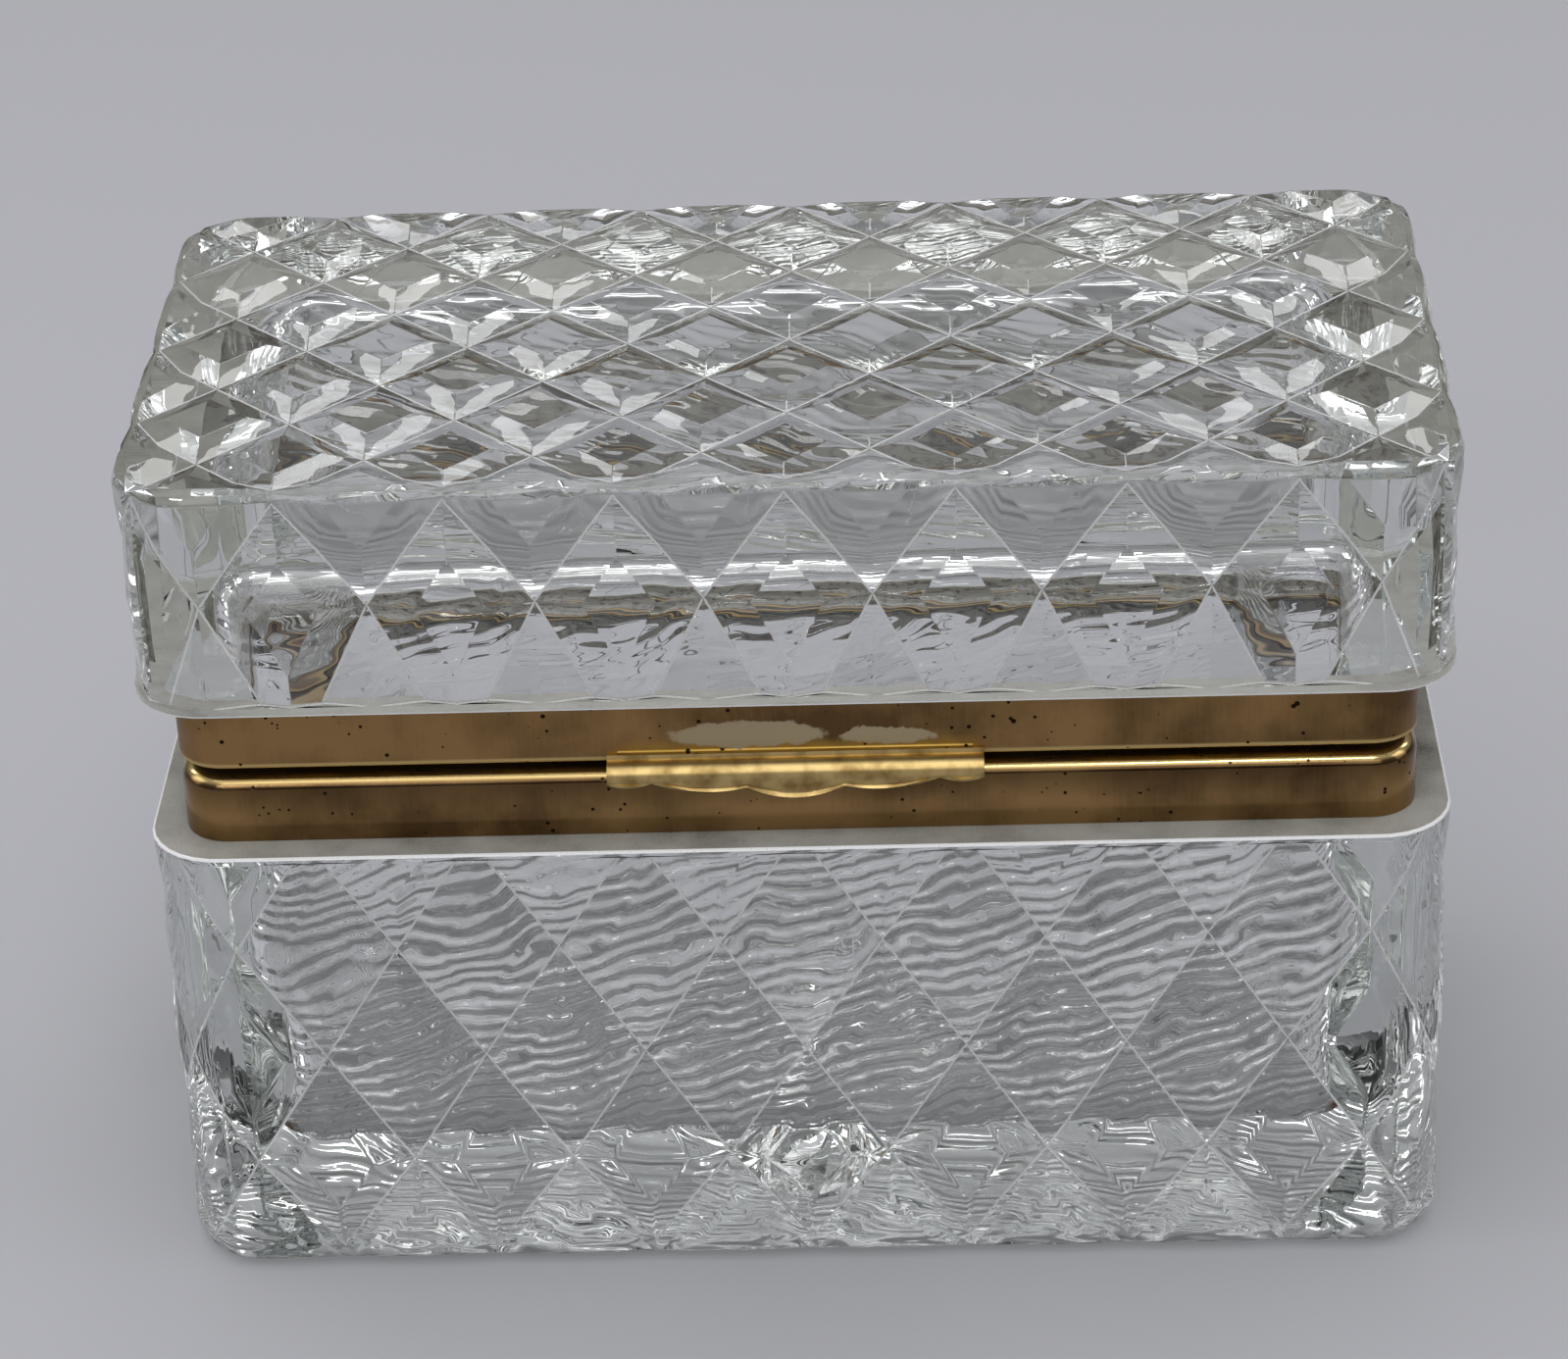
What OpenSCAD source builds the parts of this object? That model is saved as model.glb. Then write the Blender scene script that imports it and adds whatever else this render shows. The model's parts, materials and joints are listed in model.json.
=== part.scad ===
// Cut glass casket box with brass mounts and a hinged lid.
// X runs along the front from left to right, Y from front to back and Z up.
// The origin is on the table under the middle of the box. All sizes are in millimetres.

/* [Glass] */
// Width of the glass along the front
glass_w = 150; // [136:1:170]
// Depth of the glass from front to back
glass_d = 76; // [70:1:86]
// Radius of the four upright corners
corner_r = 8.5; // [7:0.5:9]
// Height of the base glass up to its ground shoulder
base_h = 58; // [56:0.5:59]
// Height of the lid glass from its rim to its top
lid_h = 28.4; // [27:0.1:30]
// Thickness of the glass walls
wall = 11; // [9.5:0.5:12]
// Thickness of the base's floor
floor_t = 12; // [9:0.5:15]
// Thickness of the lid's top
roof_t = 15.5; // [13:0.5:17]
// Rounding of the base's bottom edge
bottom_r = 3; // [2:0.5:4]
// Rounding of the lid's top edge
top_r = 1.5; // [1:0.5:2.5]
// Radius of the hollows' corners and of their floor and ceiling edges
hollow_r = 6; // [4:0.5:7]

/* [Cut pattern] */
// Diamonds along the front and the back
cells_x = 8; // [6:2:10]
// Diamonds along each side, and from front to back on the lid
cells_y = 4; // [2:2:6]
// Depth of the mitre cuts in the base
base_cut = 1.1; // [0.8:0.1:1.8]
// Depth of the mitre cuts round the lid
lid_cut = 1.1; // [0.8:0.1:1.8]
// Depth of the mitre cuts on top of the lid
top_cut = 1.1; // [0.8:0.1:1.6]
// Depth of the cuts over rounded corners and edges, as a share of their full depth
edge_depth = 0.4; // [0.3:0.05:1]
// Flat table of a base diamond, as a share of the diamond
base_table = 0.52; // [0.3:0.02:0.7]
// Flat table of a diamond round the lid
lid_table = 0.44; // [0.3:0.02:0.7]
// Flat table of a diamond on top of the lid
top_table = 0.51; // [0.3:0.01:0.7]
// Half the height of a diamond on the base
base_half_cell = 14.8; // [14:0.1:15]
// Height of the crossings at half height of the base
base_row_z = 30; // [29:0.5:31]
// Drop from the lid's top to its row of crossings
lid_row_drop = 14.8; // [13:0.2:16]
// Height of the lid's lower half diamonds, which the rim cuts short
lid_lower_half = 19.4; // [15:0.2:22]
// Plain lip above the base's cuts
base_lip = 0.8; // [0.5:0.1:1.5]
// Plain lip under the lid's cuts
lid_lip = 1.2; // [0.5:0.1:2]

/* [Star under the base] */
// Rays of the star cut
star_rays = 16; // [12:2:24]
// Radius of the star over the tips of its rays
star_r = 20; // [12:1:22]
// Depth of the star in its middle
star_depth = 2.4; // [1:0.2:4]

/* [Brass mounts] */
// Distance of the mounts in from the glass faces
mount_inset = 4; // [3:0.5:5]
// Thickness of the mounts' brass
brass_t = 1.2; // [1:0.1:1.4]
// Radius of the mounts' upright corners
mount_r = 5.5; // [4.5:0.5:6]
// Height of the base mount
base_mount_h = 8.2; // [7:0.2:9]
// Height of the lid mount
lid_mount_h = 9; // [8:0.2:10]
// Open seam between the two mounts
seam = 1.4; // [1:0.1:1.8]
// Rounding of the base mount's upper edge
base_roll = 1.8; // [1.3:0.1:2.2]
// Rounding of the lid mount's lower edge
lid_roll = 0.5; // [0.4:0.1:1.2]
// Bed of plaster between the glass and the mounts
bed = 0.4; // [0.2:0.1:0.6]
// Gap between the seat lip of the base mount and the closed lid
seat_gap = 0.3; // [0.2:0.1:0.5]

/* [Thumb tab] */
// Length of the tab along the front
tab_w = 43.4; // [36:0.2:50]
// Thickness of the tab's strip
tab_t = 0.5; // [0.4:0.1:0.8]
// Radius of the tab's rounded bulge
tab_r = 1.7; // [1.4:0.1:1.8]
// Height of the flange that is soldered to the lid mount
tab_foot = 1.1; // [1.0:0.1:2.5]
// Size of the solder fillet over the flange
fillet = 0.45; // [0.3:0.05:0.6]

/* [Hinge] */
// Length of the hinge
hinge_w = 64; // [50:1:80]
// Knuckles of the hinge, the odd ones on the base
knuckles = 5; // [3:2:7]
// Diameter of the knuckles
knuckle_d = 3.8; // [3.4:0.1:4]
// Diameter of the hinge pin
pin_d = 1.6; // [1.4:0.1:1.8]
// Space round the pin in its bore
pin_play = 0.05; // [0.03:0.01:0.1]
// Space between the knuckles, and from a knuckle to the other leaf
knuckle_gap = 0.3; // [0.2:0.1:0.4]
// Angle at which the leaves meet and stop the lid
stop_angle = 100; // [90:5:110]

/* [Hidden] */
$fn = 48;

GLASS = "#dfe6e3";
BRASS = "#8a6a3c";
BRIGHT_BRASS = "#c8a24a";
PLASTER = "#cfc8ba";
SOLDER = "#9c8a66";

seam_z = base_h + base_mount_h;          // top of the base mount
lid_mount_z = seam_z + seam;             // bottom of the lid mount
lid_z = lid_mount_z + lid_mount_h;       // rim of the lid glass
top_z = lid_z + lid_h;                   // top of the box
neck_in = mount_inset + brass_t + bed;   // the glass necks inside the mounts
mount_y = glass_d / 2 - mount_inset;     // front and back faces of the mounts
hinge_z = seam_z + seam / 2;             // hinge axis
hinge_y = mount_y + 0.9;
leaf_y = hinge_y + 2.2;                  // outer faces of the hinge leaves
leaf_reach = 6.6;                        // how far each leaf runs from the hinge axis
knuckle_l = hinge_w / knuckles;
tab_z = lid_mount_z - 1.2;               // middle of the tab's bulge
tab_y = -mount_y - 0.6;
slack = 1;                               // how far cutting shapes pass a face

// ---- Lattice of mitre cuts ----
// The lattice is drawn on a grid of quarter diamonds. Cuts cross where both numbers of a grid
// point are even and their sum divides by 4, and each diamond's middle is where that sum is 2 more.

function mod4(a) = ((a % 4) + 4) % 4;

function odd(a) = mod4(a) % 2 == 1;

function on_cut(a, b) = mod4(a + b) == 0 || mod4(a - b) == 0;

// A corner of a table moves towards the middle of its diamond, or away from it.
function table_shift(a, b, table) =
    odd(a) && !odd(b)
        ? let (middle = mod4(a + 1 + b) == 2 ? a + 1 : a - 1) middle + (a - middle) * 2 * table
        : a;

// Share of its full depth that a cut has this many grid steps in from an edge
function run_out(steps) = lookup(steps, [[0, edge_depth], [1, 1]]);

// A grid point as [place along, place up, depth under the blank's face]
function lattice_point(a, b, table, cut) =
    [table_shift(a, b, table), table_shift(b, a, table), on_cut(a, b) ? cut : 0];

// A point half way along a grid line, where a rounded corner needs one more
function line_point(a, b, table, cut) =
    a == floor(a)
        ? lattice_point(a, b, table, cut)
        : (lattice_point(floor(a), b, table, cut) + lattice_point(ceil(a), b, table, cut)) / 2;

// The triangles of one grid square. Its diagonal follows the crease in it. splits says which of
// its lower, right, upper and left edges have a point in their middle.
function square_faces(a, b, table, cut, splits) =
    let (
        p = [for (c = [[0, 0], [1, 0], [1, 1], [0, 1]]) lattice_point(a + c[0], b + c[1], table, cut)],
        crossing = mod4((odd(a) ? a + 1 : a) + (odd(b) ? b + 1 : b)) == 0,
        rising = (odd(a) == odd(b)) == crossing,
        heart = rising ? (p[0] + p[2]) / 2 : (p[1] + p[3]) / 2,
        rim = [for (i = [0:3])
            for (q = splits[i] ? [p[i], (p[i] + p[(i + 1) % 4]) / 2] : [p[i]]) q]
    )
    len(rim) > 4
        ? [for (i = [0:len(rim) - 1]) [heart, rim[i], rim[(i + 1) % len(rim)]]]
        : rising ? [[p[0], p[1], p[2]], [p[0], p[2], p[3]]] : [[p[0], p[1], p[3]], [p[1], p[2], p[3]]];

// ---- Outline of the glass, seen from above ----
// Sides 0 to 3 are the front, right, back and left. A place along a side runs from the middle
// of one rounded corner to the middle of the next, in quarter diamonds.

function side_count(side) = 4 * (side % 2 == 0 ? cells_x : cells_y);

function in_corner(side, a) = a < 2 || a > side_count(side) - 2;

// Distance along the side from its middle and out from the box's middle
function side_place(side, a, inset) =
    let (
        n = side_count(side),
        length = side % 2 == 0 ? glass_w : glass_d,
        reach = side % 2 == 0 ? glass_d / 2 : glass_w / 2,
        unit = length / n,
        arc = corner_r * PI / 4,
        near = min(a, n - a),
        run = near < 2 ? near / 2 * (arc + 2 * unit - corner_r) : arc + near * unit - corner_r,
        turn = run < arc ? 45 * (1 - run / arc) : 0,
        along = -length / 2 + corner_r + (run < arc ? -(corner_r - inset) * sin(turn) : run - arc)
    )
    [a > n / 2 ? -along : along, reach - corner_r + (corner_r - inset) * cos(turn)];

// Coordinates keep three decimals, so that a point shared by two faces is the same in both.
function tidy(point) = [for (c = point) round(c * 1000) / 1000];

function wall_point(side, a, inset, z) =
    let (s = side_place(side, a, inset))
    tidy(side == 0 ? [s[0], -s[1], z]
        : side == 1 ? [s[1], s[0], z]
        : side == 2 ? [-s[0], s[1], z]
        : [-s[1], -s[0], z]);

// All places round the outline, with twice as many in the rounded corners
stations = [for (side = [0:3]) for (a = [0:0.5:side_count(side) - 0.5])
    if (a == floor(a) || in_corner(side, a)) [side, a]];

// ---- Meshes ----

// Faces are listed anticlockwise as seen from outside.
module closed_mesh(faces) {
    polyhedron(points = [for (f = faces) for (p = f) p],
               faces = [for (i = [0:len(faces) - 1]) [3 * i + 2, 3 * i + 1, 3 * i]]);
}

// Faces between two rings, the second above the first or inside it
function strip(low, high) =
    let (n = len(low))
    [for (i = [0:n - 1]) for (f = [[low[i], low[(i + 1) % n], high[(i + 1) % n]],
                                   [low[i], high[(i + 1) % n], high[i]]]) f];

function cap(ring, z, up) =
    let (n = len(ring), middle = [0, 0, z])
    [for (i = [0:n - 1]) up ? [middle, ring[i], ring[(i + 1) % n]] : [middle, ring[(i + 1) % n], ring[i]]];

// The cut walls between two rows of the grid. heights gives the height of each row.
function cut_wall(first, last, heights, table, cut) =
    [for (side = [0:3]) for (a = [0:side_count(side) - 1]) for (b = [first:last - 1])
        let (split = in_corner(side, a + 0.5))
        for (f = square_faces(a, b, table, cut, [split, false, split, false]))
            [for (p = f)
                let (steps = min(p[1] - first, last - p[1], p[0] - 1, side_count(side) - 1 - p[0]))
                wall_point(side, p[0], p[2] * run_out(steps), lookup(p[1], heights))]];

// A ring of the cut wall as it turns over an edge: turn 0 is on the wall, 90 on the flat face.
// way is 1 for an upper edge and -1 for a lower one, and flat_z is the flat face's height.
function edge_ring(row, turn, edge_r, flat_z, way, table, cut, flat_cut) =
    [for (s = stations)
        let (p = line_point(s[1], row, table, edge_depth))
        wall_point(s[0], p[0], edge_r * (1 - cos(turn)) + p[2] * cut * cos(turn),
                   flat_z - way * (edge_r * (1 - sin(turn)) + p[2] * flat_cut * sin(turn)))];

// ---- The lid's top, on a grid with 0, 0 at the front left corner ----

// A point on the top's border lies on the ring where the rounded edge ends.
function top_point(p) =
    let (
        n = side_count(0),
        m = side_count(1),
        z = top_z - p[2] * run_out(min(p[0], n - p[0], p[1], m - p[1]))
    )
    p[1] == 0 ? wall_point(0, p[0], top_r, z)
        : p[0] == n ? wall_point(1, p[1], top_r, z)
        : p[1] == m ? wall_point(2, n - p[0], top_r, z)
        : p[0] == 0 ? wall_point(3, m - p[1], top_r, z)
        : tidy([(p[0] / n - 0.5) * glass_w, (p[1] / m - 0.5) * glass_d, z]);

// The border squares near a corner have the same points along their outer edge as the walls.
function top_faces() =
    let (n = side_count(0), m = side_count(1))
    [for (a = [0:n - 1]) for (b = [0:m - 1])
        let (
            near_x = in_corner(0, a + 0.5),
            near_y = in_corner(1, b + 0.5),
            splits = [near_x && b == 0, near_y && a == n - 1, near_x && b == m - 1, near_y && a == 0]
        )
        for (f = square_faces(a, b, top_table, top_cut, splits)) [for (p = f) top_point(p)]];

// ---- Rounded boxes ----

module rounded_plate(w, d, r) {
    square([w - 2 * r, d], center = true);
    square([w, d - 2 * r], center = true);
    for (x = [-1, 1]) {
        for (y = [-1, 1]) translate([x * (w / 2 - r), y * (d / 2 - r)]) circle(r);
    }
}

// A box with rounded upright corners that lies this far inside the glass outline
module inset_box(inset, r, z0, z1) {
    translate([0, 0, z0])
        linear_extrude(z1 - z0) rounded_plate(glass_w - 2 * inset, glass_d - 2 * inset, r);
}

// The plain blank's outline with the same flats as the cut wall
module blank_slice(z0, z1) {
    low = [for (s = stations) wall_point(s[0], s[1], 0, z0)];
    high = [for (s = stations) wall_point(s[0], s[1], 0, z1)];
    closed_mesh(concat(strip(low, high), cap(low, z0, false), cap(high, z1, true)));
}

// One ring of a hollow: its corners have radius r - inset and its walls lie wall + inset deep.
function hollow_ring(inset, z) =
    let (x = glass_w / 2 - wall - hollow_r, y = glass_d / 2 - wall - hollow_r, r = hollow_r - inset)
    [for (q = [0:3]) for (k = [0:8])
        let (
            turn = 180 + 90 * q + k * 90 / 8,
            sx = q == 0 || q == 3 ? -1 : 1,
            sy = q < 2 ? -1 : 1
        )
        tidy([sx * x + r * cos(turn), sy * y + r * sin(turn), z])];

// A hollow whose closed end is at end_z, with a rounded edge there. way is 1 if it opens upwards.
module hollow(end_z, open_z, way) {
    steps = 8;
    rings = [for (k = [0:steps])
        let (turn = k * 90 / steps, inset = (hollow_r - 0.5) * (1 - sin(turn)))
        hollow_ring(inset, end_z + way * (hollow_r - 0.5) * (1 - cos(turn)))];
    all = way > 0
        ? concat(rings, [hollow_ring(0, open_z)])
        : concat([hollow_ring(0, open_z)], [for (k = [steps:-1:0]) rings[k]]);
    closed_mesh(concat([for (k = [0:len(all) - 2]) for (f = strip(all[k], all[k + 1])) f],
                       cap(all[0], all[0][0][2], false),
                       cap(all[len(all) - 1], all[len(all) - 1][0][2], true)));
}

// ---- Glass ----

// Pit of the star: its rays run out to tips, and ridges between them reach the resting face.
module star_pit() {
    ring = [for (i = [0:2 * star_rays - 1])
        let (turn = 180 * i / star_rays, r = i % 2 == 0 ? star_r : star_r * 0.3)
        tidy([r * cos(turn), r * sin(turn), -0.001])];
    n = len(ring);
    closed_mesh(concat(cap(ring, -0.001, false),
                       [for (i = [0:n - 1]) [[0, 0, star_depth], ring[i], ring[(i + 1) % n]]]));
}

module base_glass() color(GLASS, 0.5) {
    row = base_row_z;
    heights = [[-4, bottom_r], [-2, row - base_half_cell], [0, row], [4, row + 2 * base_half_cell]];
    top_row_z = row + 2 * base_half_cell;
    rings = [for (turn = [0, 45, 90]) edge_ring(-4, turn, bottom_r, 0, -1, base_table, base_cut, 0)];
    top_ring = edge_ring(4, 0, 0, top_row_z, 1, base_table, base_cut, 0);
    lip_z = base_h - base_lip;
    difference() {
        union() {
            difference() {
                closed_mesh(concat(cap(rings[2], 0, false), strip(rings[2], rings[1]),
                                   strip(rings[1], rings[0]),
                                   cut_wall(-4, 4, heights, base_table, base_cut),
                                   cap(top_ring, top_row_z, true)));
                translate([-glass_w, -glass_d, lip_z]) cube([2 * glass_w, 2 * glass_d, base_h]);
            }
            blank_slice(lip_z, base_h);
            inset_box(neck_in, corner_r - 3, base_h - 0.5, seam_z - brass_t - bed);
        }
        hollow(floor_t, seam_z, 1);
        star_pit();
    }
}

module lid_glass() color(GLASS, 0.5) {
    row = top_z - lid_row_drop;
    heights = [[-4, row - lid_lower_half], [-2, row], [0, top_z - top_r]];
    low_z = row - lid_lower_half;
    low_ring = edge_ring(-4, 0, 0, low_z, -1, lid_table, lid_cut, 0);
    wall_ring = edge_ring(0, 0, top_r, top_z, 1, lid_table, lid_cut, top_cut);
    edge = edge_ring(0, 45, top_r, top_z, 1, (lid_table + top_table) / 2, lid_cut, top_cut);
    flat_ring = edge_ring(0, 90, top_r, top_z, 1, top_table, lid_cut, top_cut);
    lip_z = lid_z + lid_lip;
    difference() {
        union() {
            difference() {
                closed_mesh(concat(cap(low_ring, low_z, false),
                                   cut_wall(-4, 0, heights, lid_table, lid_cut),
                                   strip(wall_ring, edge), strip(edge, flat_ring), top_faces()));
                translate([-glass_w, -glass_d, lip_z - base_h])
                    cube([2 * glass_w, 2 * glass_d, base_h]);
            }
            blank_slice(lid_z, lip_z);
            inset_box(neck_in, corner_r - 3, lid_mount_z + brass_t + bed, lid_z + 0.5);
        }
        hollow(top_z - roof_t, lid_mount_z, -1);
    }
}

// ---- Brass mounts ----

// Section of a mount, drawn with its outer face on the Y axis and its rolled edge on top
module mount_section(h, roll) {
    reach = roll + 1;
    difference() {
        union() {
            square([reach, h - roll]);
            translate([roll, 0]) square([reach - roll, h]);
            translate([roll, h - roll]) circle(roll);
        }
        translate([brass_t, -slack]) square([reach, h - brass_t + slack]);
    }
}

// The rolled rim that runs round the box, from z = 0 up to h
module mount_rim(h, roll) {
    run_x = glass_w - 2 * mount_inset - 2 * mount_r;
    run_y = glass_d - 2 * mount_inset - 2 * mount_r;
    for (turn = [0, 180]) {
        rotate(turn) translate([-run_x / 2, -run_y / 2 - mount_r])
            rotate([90, 0, 90]) linear_extrude(run_x) mount_section(h, roll);
        rotate(turn + 90) translate([-run_y / 2, -run_x / 2 - mount_r])
            rotate([90, 0, 90]) linear_extrude(run_y) mount_section(h, roll);
    }
    for (x = [-1, 1]) {
        for (y = [-1, 1]) {
            start = x > 0 ? (y > 0 ? 0 : 270) : (y > 0 ? 90 : 180);
            translate([x * run_x / 2, y * run_y / 2]) rotate(start)
                rotate_extrude(angle = 90) translate([mount_r, 0]) mirror([1, 0]) mount_section(h, roll);
        }
    }
}

// Flat flange from the rolled rim in to the mouth of the hollow
module flange(outer, inner, z0, z1) {
    difference() {
        inset_box(outer, mount_r - outer + mount_inset, z0, z1);
        inset_box(inner, hollow_r, z0 - slack, z1 + slack);
    }
}

// Room for the knuckles, which sit partly inside the mounts' back faces
module knuckle_room() {
    translate([-hinge_w / 2 - knuckle_gap, hinge_y, hinge_z]) rotate([0, 90, 0])
        cylinder(r = knuckle_d / 2 + knuckle_gap, h = hinge_w + 2 * knuckle_gap);
}

module base_mount() color(BRASS) {
    difference() {
        union() {
            translate([0, 0, base_h]) mount_rim(base_mount_h, base_roll);
            flange(mount_inset + base_roll, wall, seam_z - brass_t, seam_z);
            flange(wall - 2, wall, seam_z - brass_t, lid_mount_z - seat_gap);
        }
        knuckle_room();
    }
}

module lid_mount() color(BRASS) {
    difference() {
        union() {
            translate([0, 0, lid_z]) mirror([0, 0, 1]) mount_rim(lid_mount_h, lid_roll);
            flange(mount_inset + lid_roll, wall, lid_mount_z, lid_mount_z + brass_t);
        }
        knuckle_room();
    }
}

// Thin bed that fills the space between a mount and the glass neck inside it
module plaster(z0, z1, flange_z0, flange_z1) {
    difference() {
        inset_box(mount_inset + brass_t, mount_r - brass_t, z0, z1);
        inset_box(neck_in, corner_r - 3, z0 - slack, z1 + slack);
    }
    difference() {
        inset_box(mount_inset + brass_t, mount_r - brass_t, flange_z0, flange_z1);
        inset_box(wall, hollow_r, flange_z0 - slack, flange_z1 + slack);
    }
}

module base_plaster() color(PLASTER) {
    under = seam_z - brass_t;
    plaster(base_h, under, under - bed, under);
}

module lid_plaster() color(PLASTER) {
    over = lid_mount_z + brass_t;
    plaster(over, lid_z, over, over + bed);
}

// ---- Hinge ----

// Along the hinge axis, from x0 to x1
module along_hinge(x0, x1) {
    translate([x0, hinge_y, hinge_z]) rotate([90, 0, 90]) linear_extrude(x1 - x0) children();
}

// Leaf on the upper side of the axis: its lower edge slopes at half the stop angle.
module leaf_section() {
    back = leaf_y - hinge_y;
    front = mount_y - hinge_y;
    clear = knuckle_d / 2 + knuckle_gap;
    difference() {
        polygon([[front, 0], [0, 0], [back, back * tan(stop_angle / 2)], [back, leaf_reach],
                 [front, leaf_reach]]);
        circle(clear);
    }
}

// The web that ties a knuckle to its own leaf
module knuckle_section() {
    circle(d = knuckle_d);
    polygon([[mount_y - hinge_y, 0], [knuckle_d / 2 - 0.3, 0], [knuckle_d / 2 - 0.3, knuckle_d],
             [mount_y - hinge_y, knuckle_d]]);
}

function knuckle_x(i) = -hinge_w / 2 + i * knuckle_l;

// A leaf with every second knuckle, from the given first one. way is 1 above the axis, -1 below.
module hinge_leaf(first, way) {
    translate([0, 0, way > 0 ? 0 : 2 * hinge_z]) mirror([0, 0, way > 0 ? 0 : 1]) difference() {
        union() {
            along_hinge(-hinge_w / 2, hinge_w / 2) leaf_section();
            for (i = [first:2:knuckles - 1]) {
                along_hinge(knuckle_x(i) + (i == 0 ? 0 : knuckle_gap / 2),
                            knuckle_x(i + 1) - (i == knuckles - 1 ? 0 : knuckle_gap / 2))
                    knuckle_section();
            }
        }
        translate([-hinge_w / 2 - slack, hinge_y, hinge_z]) rotate([0, 90, 0])
            cylinder(d = pin_d + 2 * pin_play, h = hinge_w + 2 * slack);
    }
}

module base_hinge_leaf() color(BRASS) hinge_leaf(0, -1);

module lid_hinge_leaf() color(BRASS) hinge_leaf(1, 1);

// The pin's ends are spread into low heads that keep it in the knuckles.
module hinge_pin() color(BRIGHT_BRASS) {
    head = 0.6;
    translate([0, hinge_y, hinge_z]) rotate([0, 90, 0]) {
        cylinder(d = pin_d, h = hinge_w + head, center = true);
        for (side = [-1, 1]) translate([0, 0, side * (hinge_w / 2 + head / 2 + pin_play)])
            cylinder(d = pin_d + 1, h = head, center = true);
    }
}

// ---- Thumb tab ----

// Section of the strip: soldered to the lid mount on top, bulged, then hanging down in front
module tab_section() {
    middle = tab_r - tab_t / 2;
    drop_turn = 20;
    difference() {
        circle(tab_r);
        circle(tab_r - tab_t);
        translate([0, -tab_r - slack]) square([2 * tab_r, 2 * tab_r + 2 * slack]);
        rotate(drop_turn) translate([-2 * tab_r, -2 * tab_r]) square([2 * tab_r, 2 * tab_r]);
    }
    rotate(drop_turn) translate([-tab_r, -3]) square([tab_t, 3]);
    translate([-0.01, tab_r - tab_t]) square([0.61, tab_t]);
    translate([0.15, tab_r - tab_t]) square([0.45, tab_foot]);
}

// Scalloped outline of the tab, seen from the front
module tab_outline() {
    translate([-tab_w / 2, -0.45]) square([tab_w, 4]);
    translate([0, 9.1]) circle(12);
    for (side = [-1, 1]) {
        translate([side * 9.4, 14]) circle(16);
        translate([side * (tab_w / 2 - 2.7), 3.9]) circle(5);
    }
}

module thumb_tab() color(BRIGHT_BRASS) {
    intersection() {
        translate([-tab_w / 2, tab_y, tab_z]) rotate([90, 0, 90]) linear_extrude(tab_w) tab_section();
        translate([0, tab_y + slack, tab_z]) rotate([90, 0, 0]) linear_extrude(2 * tab_r + slack)
            tab_outline();
    }
}

// Fillet of solder along the flange's top edge
module tab_solder() color(SOLDER) {
    over = tab_z + tab_r - tab_t + tab_foot;
    translate([-tab_w / 2 + 1.5, -mount_y, over]) rotate([90, 0, 90]) linear_extrude(tab_w - 3)
        difference() {
            translate([-fillet, 0]) square([fillet, fillet]);
            translate([-fillet, fillet]) circle(fillet - 0.05);
        }
}

base_glass();
base_mount();
base_plaster();
base_hinge_leaf();
hinge_pin();
lid_glass();
lid_mount();
lid_plaster();
lid_hinge_leaf();
thumb_tab();
tab_solder();
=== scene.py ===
"""Cut glass casket box with aged brass mounts, dressed round its packed construction model."""

import json
import math

import bmesh
import bpy
from mathutils import Matrix, Vector

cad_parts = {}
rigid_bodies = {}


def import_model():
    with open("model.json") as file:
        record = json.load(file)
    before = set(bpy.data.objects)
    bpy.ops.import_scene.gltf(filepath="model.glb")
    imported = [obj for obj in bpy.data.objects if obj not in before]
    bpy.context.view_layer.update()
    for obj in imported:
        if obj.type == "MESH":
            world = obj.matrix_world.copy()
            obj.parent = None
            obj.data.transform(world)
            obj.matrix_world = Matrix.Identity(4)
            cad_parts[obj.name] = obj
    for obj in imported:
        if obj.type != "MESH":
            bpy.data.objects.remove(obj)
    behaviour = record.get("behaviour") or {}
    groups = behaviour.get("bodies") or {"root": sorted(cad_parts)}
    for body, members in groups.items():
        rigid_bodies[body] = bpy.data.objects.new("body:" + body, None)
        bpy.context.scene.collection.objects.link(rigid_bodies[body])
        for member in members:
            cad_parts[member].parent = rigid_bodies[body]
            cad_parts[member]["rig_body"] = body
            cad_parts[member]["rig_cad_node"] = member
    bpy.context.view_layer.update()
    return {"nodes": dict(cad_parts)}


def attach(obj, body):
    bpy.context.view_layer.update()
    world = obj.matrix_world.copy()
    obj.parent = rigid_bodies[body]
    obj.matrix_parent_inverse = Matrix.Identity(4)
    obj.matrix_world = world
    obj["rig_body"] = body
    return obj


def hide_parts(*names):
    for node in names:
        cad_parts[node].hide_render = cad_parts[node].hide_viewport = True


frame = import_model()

bl_info = {
    "name": "Cut Glass Casket Box",
    "version": (1, 0, 0),
    "blender": (4, 5, 0),
    "location": "View3D > Sidebar > Casket Box",
    "description": "Glass, brass mounts, hinge and thumb tab of a cut glass casket box",
    "category": "Object",
}

MM = 0.001
NODES = frame["nodes"]

# Heights of the ground ledges that the mounts meet, and of the middle of the open seam between the mounts
LEDGES = {"base": 58 * MM, "lid": 76.6 * MM}
SEAM_Z = 66.9 * MM
# The hollows reach 64 mm to each side, 27 mm to front and back, and from 12 to 89.5 mm up.
# This box is a little larger.
HOLLOWS_MIDDLE = (0, 0, 51.5 * MM)
HOLLOWS_REACH = (64.6 * MM, 27.6 * MM, 43.5 * MM)
# Widths of the diamonds in front and at the sides
FRONT_DIAMOND = 18.75 * MM
SIDE_DIAMOND = 19 * MM
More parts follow.
